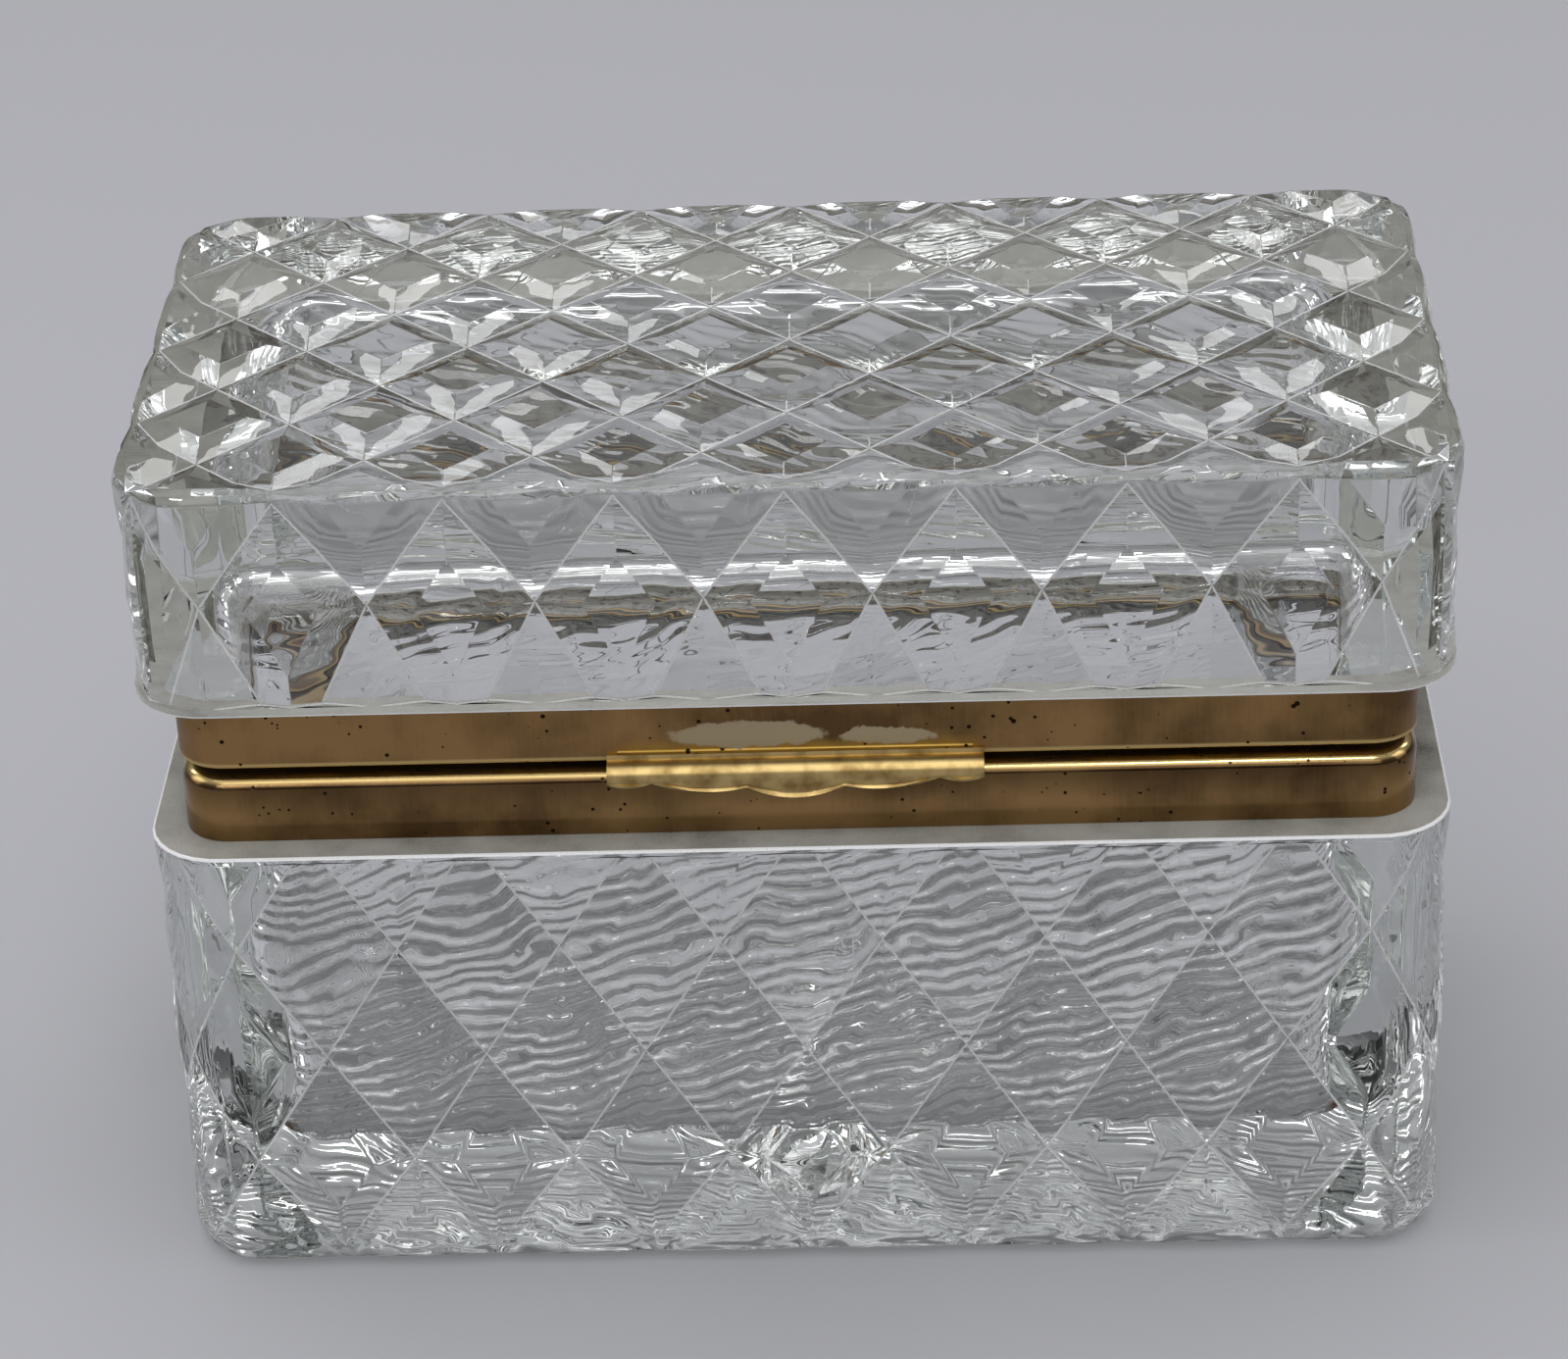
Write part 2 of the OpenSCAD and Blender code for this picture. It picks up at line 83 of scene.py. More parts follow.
# In millimetres: the height where the cuts cross, how far a diamond reaches above and below it, the crossings
# beside the middle (in diamonds), and the heights between which the cuts lie
DIAMOND_ROWS = {"base": (30, 14.8, 14.8, 0.0, 0.5, 57), "lid": (90.2, 13.3, 19.4, 0.5, 78, 103.6)}
# The outer walls lie farther out than this, and the side walls farther than SIDE_X.
WALL_X, WALL_Y, SIDE_X = 71.5 * MM, 34.5 * MM, 72 * MM
# Only the cut outside of the glass lies farther out than this, or higher.
CUT_X, CUT_Y, CUT_Z = 69.5 * MM, 32.5 * MM, 101 * MM
# A fold between cut faces is shaped if it is sharper, in degrees, and longer than this.
LEAST_FOLD, LEAST_LENGTH = 9, 1.2 * MM
# The outer rims of the ledges lie farther out than this, and fold by more degrees.
RIM_X, RIM_Y, RIM_FOLD = 71 * MM, 34 * MM, 30
# Films of air between the glass and the ends of the sheet, and between the glass and the plaster
SHEET_GAP, PLASTER_GAP = 0.05 * MM, 0.03 * MM
# Heights that differ by less than this are the same.
NEAR = 0.1 * MM
# Places of the glass's materials in its list
GROUND, GROOVE, RIM = 1, 2, 3
SODA_LIME_IOR = 1.52


# ---- Small helpers ----

def linear(hex_colour):
    """An sRGB hex colour such as '#8a6a42' as linear RGBA."""
    parts = [int(hex_colour[i:i + 2], 16) / 255 for i in (1, 3, 5)]
    return tuple([c / 12.92 if c <= 0.04045 else ((c + 0.055) / 1.055) ** 2.4 for c in parts] + [1.0])


def add_node(material, kind, values=None):
    """Adds a node. values holds its properties, its colour stops and its inputs, properties first.

    An input takes a number, another node's output, or another node, which stands for its first output."""
    node = material.node_tree.nodes.new(kind)
    for name, value in (values or {}).items():
        if name == "stops":
            elements = node.color_ramp.elements
            while len(elements) < len(value):
                elements.new(0.5)
            for element, (position, colour) in zip(elements, value):
                element.position, element.color = position, linear(colour)
        elif isinstance(name, str) and hasattr(node, name):
            setattr(node, name, value)
        elif isinstance(value, (bpy.types.Node, bpy.types.NodeSocket)):
            source = value.outputs[0] if isinstance(value, bpy.types.Node) else value
            material.node_tree.links.new(source, node.inputs[name])
        else:
            node.inputs[name].default_value = value
    return node


def new_material(name):
    """An empty node material, and its pieces' own coordinates."""
    material = bpy.data.materials.new(name)
    material.use_nodes = True
    material.node_tree.nodes.clear()
    return material, add_node(material, "ShaderNodeTexCoord").outputs["Object"]


def alone(piece):
    """Makes the piece the only selected and the active object, in object mode."""
    if bpy.context.mode != "OBJECT":
        bpy.ops.object.mode_set(mode="OBJECT")
    bpy.ops.object.select_all(action="DESELECT")
    piece.select_set(True)
    bpy.context.view_layer.objects.active = piece


def pick(piece, mode, test):
    """Opens the piece in edit mode with just the faces, edges or vertices that pass the test selected."""
    alone(piece)
    bpy.ops.object.mode_set(mode="EDIT")
    bpy.ops.mesh.select_mode(type=mode)
    bpy.ops.mesh.select_all(action="DESELECT")
    mesh = bmesh.from_edit_mesh(piece.data)
    for part in {"FACE": mesh.faces, "EDGE": mesh.edges, "VERT": mesh.verts}[mode]:
        part.select = bool(test(part))
    mesh.select_flush_mode()
    bmesh.update_edit_mesh(piece.data)


def merged_copy(node, name):
    """A copy of a CAD node as one merged skin."""
    bpy.ops.object.select_all(action="DESELECT")
    piece = NODES[node].copy()
    piece.data = NODES[node].data.copy()
    piece.name = piece.data.name = name
    piece.parent = None
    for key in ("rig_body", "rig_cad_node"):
        if key in piece:
            del piece[key]
    bpy.context.scene.collection.objects.link(piece)
    alone(piece)
    bpy.ops.object.mode_set(mode="EDIT")
    bpy.ops.mesh.select_all(action="SELECT")
    bpy.ops.mesh.remove_doubles(threshold=0.002 * MM)
    bpy.ops.object.mode_set(mode="OBJECT")
    bpy.ops.mesh.customdata_custom_splitnormals_clear()
    piece.data.materials.clear()
    return piece


def finish_piece(piece, body, node, smooth_angle):
    """Shades the piece, ties it to its body, and hides the node that it stands for."""
    alone(piece)
    bpy.ops.object.shade_smooth_by_angle(angle=math.radians(smooth_angle))
    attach(piece, body)
    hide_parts(node)


# ---- Settings that a user would change ----

class GlassSettings(bpy.types.PropertyGroup):
    """Sizes and colours of the cut glass"""
    edge: bpy.props.FloatProperty(
        name="Edge rounding", description="Width of the rounding on the lid's cut edges",
        default=0.12 * MM, min=0.05 * MM, max=0.4 * MM, unit="LENGTH")
    soft_edge: bpy.props.FloatProperty(
        name="Base edge rounding", description="Width of the rounding on the base's cut edges",
        default=0.5 * MM, min=0.05 * MM, max=0.8 * MM, unit="LENGTH")
    rim: bpy.props.FloatProperty(
        name="Rim bevel", description="Width of the matte bevel round the ground ledges",
        default=0.3 * MM, min=0.05 * MM, max=0.5 * MM, unit="LENGTH")
    groove: bpy.props.FloatProperty(
        name="Groove width", description="Half the width of the matte line at the bottom of a groove",
        default=0.13 * MM, min=0.05 * MM, max=0.5 * MM, unit="LENGTH")
    tint: bpy.props.StringProperty(
        name="Tint", description="sRGB colour that the glass takes where it is thick", default="#d5dbd7")
    density: bpy.props.FloatProperty(
        name="Density", description="How fast the tint deepens, per metre", default=8.0, min=0.0)
    ripple: bpy.props.FloatProperty(
        name="Base ripple", description="Height of the waves on the walls of the base's hollow",
        default=0.26 * MM, min=0.0, unit="LENGTH")
    lid_ripple: bpy.props.FloatProperty(
        name="Lid ripple", description="Height of the waves on the walls of the lid's hollow",
        default=0.03 * MM, min=0.0, unit="LENGTH")
    pillow: bpy.props.FloatProperty(
        name="Pillow", description="How far the diamonds of the base swell in their middles",
        default=0.8 * MM, min=0.0, unit="LENGTH")
    lid_pillow: bpy.props.FloatProperty(
        name="Lid pillow", description="How far the diamonds on the lid's walls swell in their middles",
        default=1.0 * MM, min=0.0, unit="LENGTH")
    ripple_pitch: bpy.props.FloatProperty(
        name="Ripple pitch", description="Distance from wave to wave on the walls of the hollows",
        default=1.7 * MM, min=0.2 * MM, unit="LENGTH")
    ground: bpy.props.StringProperty(
        name="Ground glass", description="sRGB colour of the ground ledges", default="#c9c5bc")
    stain: bpy.props.StringProperty(
        name="Stain", description="sRGB colour of the stains in the base", default="#7d4a1e")


class BrassSettings(bpy.types.PropertyGroup):
    """Colours of the brass, of its wear, pits, grime, painted shade and painted highlight, and of the solder
    """
    aged: bpy.props.StringProperty(
        name="Aged brass", description="sRGB colour of the dull brass", default="#99794f")
    dark: bpy.props.StringProperty(
        name="Dark brass", description="sRGB colour of its tarnish", default="#614a2e")
    bright: bpy.props.StringProperty(
        name="Bright brass", description="sRGB colour of the worn brass", default="#c6ac74")
    scraped: bpy.props.StringProperty(
        name="Scraped brass", description="sRGB colour of the brass round the solder", default="#a8863f")
    pit_and_shade: bpy.props.StringProperty(
        name="Pits", description="sRGB colour of the corroded pits and of grime", default="#2c1e12")
    solder: bpy.props.StringProperty(
        name="Solder", description="sRGB colour of the smeared solder", default="#b3a486")
    streak: bpy.props.FloatProperty(
        name="Streaks", description="Spacing of the fine upright streaks",
        default=0.35 * MM, min=0.1 * MM, unit="LENGTH")


class PlasterSettings(bpy.types.PropertyGroup):
    """Colours of the plaster that holds the mounts"""
    clean: bpy.props.StringProperty(
        name="Plaster", description="sRGB colour of the clean plaster", default="#aaa497")
    dirty: bpy.props.StringProperty(
        name="Dirt", description="sRGB colour of its dirty parts", default="#4a3521")


class StageSettings(bpy.types.PropertyGroup):
    """The floor's colour and the lamps' strength"""
    floor: bpy.props.StringProperty(
        name="Floor", description="sRGB colour of the floor", default="#aeaeb3")
    light: bpy.props.FloatProperty(
        name="Light", description="Strength of the lamps beside their plain level", default=1.0, min=0.0)


# ---- Materials ----

def close_glass(material, shader, tint, density, passed):
    """Gives a glass its body tint, and lets lamps through it, in the passed colour, to what stands behind."""
    clear = add_node(material, "ShaderNodeBsdfTransparent", {"Color": linear(passed)})
    path = add_node(material, "ShaderNodeLightPath")
    both = add_node(material, "ShaderNodeMixShader", {0: path.outputs["Is Shadow Ray"], 1: shader, 2: clear})
    body = add_node(material, "ShaderNodeVolumeAbsorption", {"Color": linear(tint), "Density": density})
    add_node(material, "ShaderNodeOutputMaterial", {"Surface": both, "Volume": body})
    return material


def press_waves(material, place, height, ends, pitch):
    """Waves of the given height, in millimetres, that the press left in the hollows and on the resting face.

    On the hollows' end walls they are ends times as high."""
    tilted = add_node(material, "ShaderNodeMapping", {
        "Rotation": tuple(map(math.radians, (-32, 14, 8))), "Vector": place})
    # A wave texture repeats every pi / (10 * scale).
    waves = add_node(material, "ShaderNodeTexWave", {
        "wave_type": "BANDS", "bands_direction": "Z", "Scale": math.pi / 10 / pitch,
        "Distortion": 11.0, "Detail": 2.0, "Detail Scale": 0.45, "Vector": tilted})
    centred = add_node(material, "ShaderNodeMapping", {
        "vector_type": "TEXTURE", "Location": HOLLOWS_MIDDLE, "Scale": HOLLOWS_REACH, "Vector": place})
    size = add_node(material, "ShaderNodeVectorMath", {"operation": "ABSOLUTE", 0: centred})
    shares = add_node(material, "ShaderNodeSeparateXYZ", {0: size}).outputs
    widest = add_node(material, "ShaderNodeMath", {"operation": "MAXIMUM", 0: shares["X"], 1: shares["Y"]})
    widest = add_node(material, "ShaderNodeMath", {"operation": "MAXIMUM", 0: widest, 1: shares["Z"]})
    inside = add_node(material, "ShaderNodeMath", {"operation": "LESS_THAN", 0: widest, 1: 1.0})
    # On the resting face they were rubbed down to 0.35 of their height.
    up = add_node(material, "ShaderNodeSeparateXYZ", {0: place}).outputs["Z"]
    below = add_node(material, "ShaderNodeMath", {"operation": "LESS_THAN", 0: up, 1: 0.2 * MM})
    below = add_node(material, "ShaderNodeMath", {"operation": "MULTIPLY", 0: below, 1: 0.35})
    wavy = add_node(material, "ShaderNodeMath", {"operation": "MAXIMUM", 0: inside, 1: below})
    # The end walls lie at 0.99 of the box's reach.
    swell = add_node(material, "ShaderNodeMapRange", {
        "From Min": 0.94, "From Max": 0.99, "To Min": height, "To Max": height * ends, "Value": shares["X"]})
    waves = add_node(material, "ShaderNodeMath", {"operation": "MULTIPLY", 0: waves.outputs["Fac"], 1: swell})
    return add_node(material, "ShaderNodeMath", {"operation": "MULTIPLY", 0: waves, 1: wavy})


def pillowed_diamonds(material, place, swell, row):
    """Height in millimetres of the outer walls, where the polish left each diamond a little convex.

    swell is that height in a diamond's middle, and row is one of DIAMOND_ROWS."""
    crossing, above, below, shift, low, high = row
    parts = add_node(material, "ShaderNodeSeparateXYZ", {0: place}).outputs
    aside = add_node(material, "ShaderNodeMath", {"operation": "ABSOLUTE", 0: parts["X"]})
    ahead = add_node(material, "ShaderNodeMath", {"operation": "ABSOLUTE", 0: parts["Y"]})
    # Across the walls, counted in diamonds
    in_front = add_node(material, "ShaderNodeMath", {
        "operation": "MULTIPLY_ADD", 0: parts["X"], 1: 1 / FRONT_DIAMOND, 2: shift})
    at_side = add_node(material, "ShaderNodeMath", {
        "operation": "MULTIPLY_ADD", 0: parts["Y"], 1: 1 / SIDE_DIAMOND, 2: shift})
    side = add_node(material, "ShaderNodeMath", {"operation": "GREATER_THAN", 0: aside, 1: SIDE_X})
    across = add_node(material, "ShaderNodeMix", {"data_type": "FLOAT", 0: side, 2: in_front, 3: at_side})
    # Up the walls, where a diamond reaches half a step above the crossing and half a step below it
    rise = add_node(material, "ShaderNodeMath", {"operation": "SUBTRACT", 0: parts["Z"], 1: crossing * MM})
    up = 0.0
    for end, reach in (("MAXIMUM", above), ("MINIMUM", below)):
        half = add_node(material, "ShaderNodeMath", {"operation": end, 0: rise, 1: 0.0})
        up = add_node(material, "ShaderNodeMath", {
            "operation": "MULTIPLY_ADD", 0: half, 1: 0.5 / (reach * MM), 2: up})
    # A wave along each of the two ways that the cuts run
    waves = []
    for way in ("ADD", "SUBTRACT"):
        turn = add_node(material, "ShaderNodeMath", {"operation": way, 0: across, 1: up})
        turn = add_node(material, "ShaderNodeMath", {"operation": "MULTIPLY", 0: turn, 1: math.pi})
        waves.append(add_node(material, "ShaderNodeMath", {"operation": "SINE", 0: turn}))
    pillow = add_node(material, "ShaderNodeMath", {"operation": "MULTIPLY", 0: waves[0], 1: waves[1]})
    pillow = add_node(material, "ShaderNodeMath", {"operation": "ABSOLUTE", 0: pillow})
    # Only the outer walls swell, between their lowest and highest cuts.
    outside = add_node(material, "ShaderNodeMath", {"operation": "GREATER_THAN", 0: aside, 1: WALL_X})
    front = add_node(material, "ShaderNodeMath", {"operation": "GREATER_THAN", 0: ahead, 1: WALL_Y})
    outside = add_node(material, "ShaderNodeMath", {"operation": "MAXIMUM", 0: outside, 1: front})
    over = add_node(material, "ShaderNodeMath", {"operation": "GREATER_THAN", 0: parts["Z"], 1: low * MM})
    under = add_node(material, "ShaderNodeMath", {"operation": "LESS_THAN", 0: parts["Z"], 1: high * MM})
    for factor in (swell, outside, over, under):
        pillow = add_node(material, "ShaderNodeMath", {"operation": "MULTIPLY", 0: pillow, 1: factor})
    return pillow


def dried_crust(material, place):
    """Where water dried in the front corners of the base's hollow and left a crust about 3 mm across."""
    # Folded on the middle, the four corners are one.
    folded = add_node(material, "ShaderNodeVectorMath", {"operation": "ABSOLUTE", 0: place})
    away = add_node(material, "ShaderNodeVectorMath", {
        "operation": "DISTANCE", 0: folded, 1: (61.5 * MM, 24.5 * MM, 14.3 * MM)}).outputs["Value"]
    rough = add_node(material, "ShaderNodeTexNoise", {
        "Scale": 1 / (1.2 * MM), "Detail": 3.0, "Vector": place})
    reach = add_node(material, "ShaderNodeMath", {
        "operation": "MULTIPLY_ADD", 0: rough, 1: 2.4 * MM, 2: away})
    near = add_node(material, "ShaderNodeMapRange", {
        "From Min": 3.6 * MM, "From Max": 2.2 * MM, "Value": reach})
    parts = add_node(material, "ShaderNodeSeparateXYZ", {0: place}).outputs
    front = add_node(material, "ShaderNodeMath", {"operation": "LESS_THAN", 0: parts["Y"], 1: 0.0})
    return add_node(material, "ShaderNodeMath", {"operation": "MULTIPLY", 0: near, 1: front})


def clear_glass(settings, name, body):
    """Pressed and cut soda-lime glass: clear, with a faint green cast where it is thick."""
    material, place = new_material(name)
    if body == "base":
        ripple, ends, swell = settings.ripple, 1.0, settings.pillow
    else:
        ripple, ends, swell = settings.lid_ripple, 6.0, settings.lid_pillow
    height = press_waves(material, place, ripple / MM, ends, settings.ripple_pitch)
    # Fire polish rolls the whole surface a little.
    polish = add_node(material, "ShaderNodeTexNoise", {"Scale": 1 / (6 * MM), "Detail": 1.0, "Vector": place})
    height = add_node(material, "ShaderNodeMath", {
        "operation": "MULTIPLY_ADD", 0: polish, 1: 0.06, 2: height})
    pillows = pillowed_diamonds(material, place, swell / MM, DIAMOND_ROWS[body])
    height = add_node(material, "ShaderNodeMath", {"operation": "ADD", 0: height, 1: pillows})
    bump = add_node(material, "ShaderNodeBump", {"Distance": MM, "Height": height})
    look = {"Base Color": linear("#ffffff"), "Roughness": 0.0, "Transmission Weight": 1.0}
    if body == "base":
        # The dried crust is brown, matte and opaque.
        crust = dried_crust(material, place)
        look["Base Color"] = add_node(material, "ShaderNodeMix", {
            "data_type": "RGBA", 0: crust, 6: linear("#ffffff"), 7: linear(settings.stain)}).outputs[2]
        look["Roughness"] = add_node(material, "ShaderNodeMath", {"operation": "MULTIPLY", 0: crust, 1: 0.6})
        look["Transmission Weight"] = add_node(material, "ShaderNodeMath", {
            "operation": "SUBTRACT", 0: 1.0, 1: crust})
    shader = add_node(material, "ShaderNodeBsdfPrincipled", {**look, "IOR": SODA_LIME_IOR, "Normal": bump})
    return close_glass(material, shader, settings.tint, settings.density, "#fcfdfc")


def unpolished_glass(settings, name, clearness):
    """Glass that the polish doesn't reach, at the bottoms of the grooves and on the ledges' rims: whitish."""
    material, place = new_material(name)
    grit = add_node(material, "ShaderNodeTexNoise", {"Scale": 1 / (0.3 * MM), "Detail": 2.0, "Vector": place})
    dull = add_node(material, "ShaderNodeMapRange", {"To Min": 0.15, "To Max": 0.5, "Value": grit})
    shader = add_node(material, "ShaderNodeBsdfPrincipled", {
        "Base Color": linear("#ffffff"), "Roughness": dull, "IOR": SODA_LIME_IOR,
        "Transmission Weight": clearness})
    return close_glass(material, shader, settings.tint, settings.density, "#f2f4f2")


def ground_glass(settings):
    """Glass ground flat and left matte: it scatters light and looks pale grey, with dirt in its pores."""
    material, place = new_material("ground_glass")
    # The grit is about 0.1 mm, drawn at 0.4 mm so that it shows.
    grit = add_node(material, "ShaderNodeTexNoise", {
        "Scale": 1 / (0.4 * MM), "Detail": 4.0, "Roughness": 0.7, "Vector": place})
    cloud = add_node(material, "ShaderNodeTexNoise", {"Scale": 1 / (7 * MM), "Detail": 3.0, "Vector": place})
    mixed = add_node(material, "ShaderNodeMath", {"operation": "MULTIPLY_ADD", 0: grit, 1: 0.5, 2: cloud})
    tone = add_node(material, "ShaderNodeValToRGB", {
        "stops": [(0.5, "#7d766b"), (0.62, "#a8a39a"), (0.9, settings.ground)], 0: mixed})
    bump = add_node(material, "ShaderNodeBump", {"Distance": 0.04 * MM, "Strength": 0.7, "Height": grit})
    shader = add_node(material, "ShaderNodeBsdfPrincipled", {
        "Base Color": tone, "Roughness": 0.55, "IOR": SODA_LIME_IOR, "Transmission Weight": 0.35,
        "Normal": bump})
    return close_glass(material, shader, settings.tint, settings.density, "#dcdedb")


def solder_smears(material, place):
    """Where the lid mount was scraped golden for soldering the tab, and where solder smears it."""
    edge = add_node(material, "ShaderNodeTexNoise", {
        "Scale": 1 / (2.6 * MM), "Detail": 5.0, "Roughness": 0.65, "Vector": place})
    wander = add_node(material, "ShaderNodeVectorMath", {
        "operation": "MULTIPLY_ADD", 0: edge.outputs["Color"], 1: (5.0 * MM, 0, 2.2 * MM), 2: place})
    parts = add_node(material, "ShaderNodeSeparateXYZ", {0: place}).outputs
    front = add_node(material, "ShaderNodeMath", {"operation": "LESS_THAN", 0: parts["Y"], 1: -33.5 * MM})
    wander_z = add_node(material, "ShaderNodeSeparateXYZ", {0: wander}).outputs["Z"]
    low = add_node(material, "ShaderNodeMapRange", {
        "From Min": 71.4 * MM, "From Max": 70.0 * MM, "Value": wander_z})
    aside = add_node(material, "ShaderNodeMath", {"operation": "ABSOLUTE", 0: parts["X"]})
    near = add_node(material, "ShaderNodeMapRange", {
        "From Min": 22.5 * MM, "From Max": 18 * MM, "Value": aside})
    scraped = add_node(material, "ShaderNodeMath", {"operation": "MULTIPLY", 0: low, 1: near})
    scraped = add_node(material, "ShaderNodeMath", {"operation": "MULTIPLY", 0: scraped, 1: front})
    # Two smears, left and right of the middle: their centres and half sizes in millimetres, endless in depth
    smears = []
    for (x, z), (half_x, half_z) in (((-2.8, 71.9), (8.8, 1.7)), ((13.0, 71.4), (5.4, 1.1))):
        local = add_node(material, "ShaderNodeMapping", {
            "vector_type": "TEXTURE", "Location": (x * MM, 0, z * MM),
            "Scale": (half_x * MM, 1e3, half_z * MM), "Vector": wander})
        length = add_node(material, "ShaderNodeVectorMath", {"operation": "LENGTH", 0: local})
        smears.append(length.outputs["Value"])
    nearest = add_node(material, "ShaderNodeMath", {"operation": "MINIMUM", 0: smears[0], 1: smears[1]})
    solder = add_node(material, "ShaderNodeMapRange", {"From Min": 1.06, "From Max": 0.94, "Value": nearest})
    solder = add_node(material, "ShaderNodeMath", {"operation": "MULTIPLY", 0: solder, 1: front})
    return scraped, solder


def aged_brass(settings, name, gloss, worn_and_highlight_z, painted_shade, seamed, soldered):
    """Rolled brass sheet, lacquer gone: brown satin metal with dark pits, gold where it is rubbed, with a
    painted highlight along that rubbed edge and painted shade beside it.

    gloss is its roughness, worn_and_highlight_z the height of its rubbed edge, where the gold line is partly
    wear and partly a painted highlight, and painted_shade how dark the painted shade beside that edge is.
    seamed says if it has faces in the seam, which get grime and painted shade, and soldered if the tab's
    solder smears it."""
    material, place = new_material(name)
    height = add_node(material, "ShaderNodeSeparateXYZ", {0: place}).outputs["Z"]
    cloud = add_node(material, "ShaderNodeTexNoise", {
        "Scale": 1 / (14 * MM), "Detail": 5.0, "Roughness": 0.55, "Vector": place})
    # Squeezed upwards, spots become upright streaks.
    squeezed = add_node(material, "ShaderNodeMapping", {"Scale": (1.0, 1.0, 0.06), "Vector": place})
    streaks = add_node(material, "ShaderNodeTexNoise", {
        "Scale": 1 / settings.streak, "Detail": 2.0, "Vector": squeezed})
    both = add_node(material, "ShaderNodeMath", {"operation": "MULTIPLY_ADD", 0: streaks, 1: 0.1, 2: cloud})
    tone = add_node(material, "ShaderNodeValToRGB", {
        "stops": [(0.38, settings.dark), (0.68, settings.aged)], 0: both})

    # Painted shade darkens the brass within 4.5 mm of the rubbed edge. The rubbed edge itself is a gold line
    # about 0.9 mm wide, partly wear and partly a painted highlight along the rolled edge.
    off = add_node(material, "ShaderNodeMath", {"operation": "SUBTRACT", 0: height, 1: worn_and_highlight_z})
    off = add_node(material, "ShaderNodeMath", {"operation": "ABSOLUTE", 0: off})
    shade = add_node(material, "ShaderNodeMapRange", {
        "From Min": 4.5 * MM, "From Max": 0.6 * MM, "To Max": painted_shade, "Value": off})
    worn_and_highlight = add_node(material, "ShaderNodeMapRange", {
        "From Min": 0.6 * MM, "From Max": 0.3 * MM, "Value": off})
    # What lies over the brass, from the lowest up, with the painted shade and the painted highlight first,
    # and how much of it roughens the brass
    layers = [(shade, settings.pit_and_shade), (worn_and_highlight, settings.bright)]
    roughened = []

    if seamed:
        # Black grime and painted shade sit on the faces in the open seam, up to 0.75 mm above and below its
        # middle.
        off = add_node(material, "ShaderNodeMath", {"operation": "SUBTRACT", 0: height, 1: SEAM_Z})
        off = add_node(material, "ShaderNodeMath", {"operation": "ABSOLUTE", 0: off})
        seam = add_node(material, "ShaderNodeMapRange", {
            "From Min": 0.78 * MM, "From Max": 0.72 * MM, "Value": off})
        blotch = add_node(material, "ShaderNodeMapRange", {
            "From Min": 0.35, "From Max": 0.65, "To Min": 0.25, "To Max": 0.85, "Value": cloud})
        grime_and_seam_shade = add_node(material, "ShaderNodeMath", {"operation": "MULTIPLY", 0: seam, 1: blotch})
        layers.append((grime_and_seam_shade, settings.pit_and_shade))
        roughened.append((grime_and_seam_shade, 0.4))

    # Pits about 0.4 mm across, in loose groups
    spots = add_node(material, "ShaderNodeTexVoronoi", {
        "Scale": 1 / (1.7 * MM), "Randomness": 1.0, "Vector": place}).outputs["Distance"]
    groups = add_node(material, "ShaderNodeTexNoise", {
        "Scale": 1 / (11 * MM), "Detail": 3.0, "Vector": place})
    width = add_node(material, "ShaderNodeMapRange", {
        "From Min": 0.32, "From Max": 0.66, "To Min": 0.0, "To Max": 0.2, "Value": groups})
    inner = add_node(material, "ShaderNodeMath", {"operation": "SUBTRACT", 0: width, 1: spots})
    pits = add_node(material, "ShaderNodeMapRange", {"From Min": -0.01, "From Max": 0.03, "Value": inner})
    if soldered:
        scraped, solder = solder_smears(material, place)
        layers += [(scraped, settings.scraped), (solder, settings.solder)]
        roughened.append((solder, 0.25))
        # Solder fills the pits.
        bare = add_node(material, "ShaderNodeMath", {"operation": "SUBTRACT", 0: 1.0, 1: solder})
        pits = add_node(material, "ShaderNodeMath", {"operation": "MULTIPLY", 0: pits, 1: bare})
    layers.append((pits, settings.pit_and_shade))
    roughened.append((pits, 0.3))

    colour = tone.outputs["Color"]
    for mask, hex_colour in layers:
        colour = add_node(material, "ShaderNodeMix", {
            "data_type": "RGBA", 0: mask, 6: colour, 7: linear(hex_colour)}).outputs[2]
    rough = add_node(material, "ShaderNodeMapRange", {
        "From Min": 0.3, "From Max": 0.7, "To Min": gloss - 0.06, "To Max": gloss + 0.08, "Value": both})
    for mask, share in reversed(roughened):
        rough = add_node(material, "ShaderNodeMath", {
            "operation": "MULTIPLY_ADD", 0: mask, 1: share, 2: rough})
    relief = add_node(material, "ShaderNodeMath", {"operation": "MULTIPLY_ADD", 0: pits, 1: -2.0, 2: streaks})
    bump = add_node(material, "ShaderNodeBump", {"Distance": 0.008 * MM, "Height": relief})
    shader = add_node(material, "ShaderNodeBsdfPrincipled", {
        "Metallic": 1.0, "Base Color": colour, "Roughness": rough, "Normal": bump})
    add_node(material, "ShaderNodeOutputMaterial", {"Surface": shader})
    return material


def bright_brass(settings):
    """Brass strip rubbed bright by the thumb, with tarnished brass left in its low places."""
    material, place = new_material("worn_bright_brass")
    cloud = add_node(material, "ShaderNodeTexNoise", {"Scale": 1 / (3 * MM), "Detail": 4.0, "Vector": place})
    tone = add_node(material, "ShaderNodeValToRGB", {
        "stops": [(0.3, "#84693a"), (0.6, settings.bright)], 0: cloud})
    dull = add_node(material, "ShaderNodeMapRange", {"To Min": 0.46, "To Max": 0.3, "Value": cloud})
    bump = add_node(material, "ShaderNodeBump", {"Distance": 0.02 * MM, "Height": cloud})
    shader = add_node(material, "ShaderNodeBsdfPrincipled", {
        "Metallic": 1.0, "Base Color": tone, "Roughness": dull, "Normal": bump})
    add_node(material, "ShaderNodeOutputMaterial", {"Surface": shader})
    return material


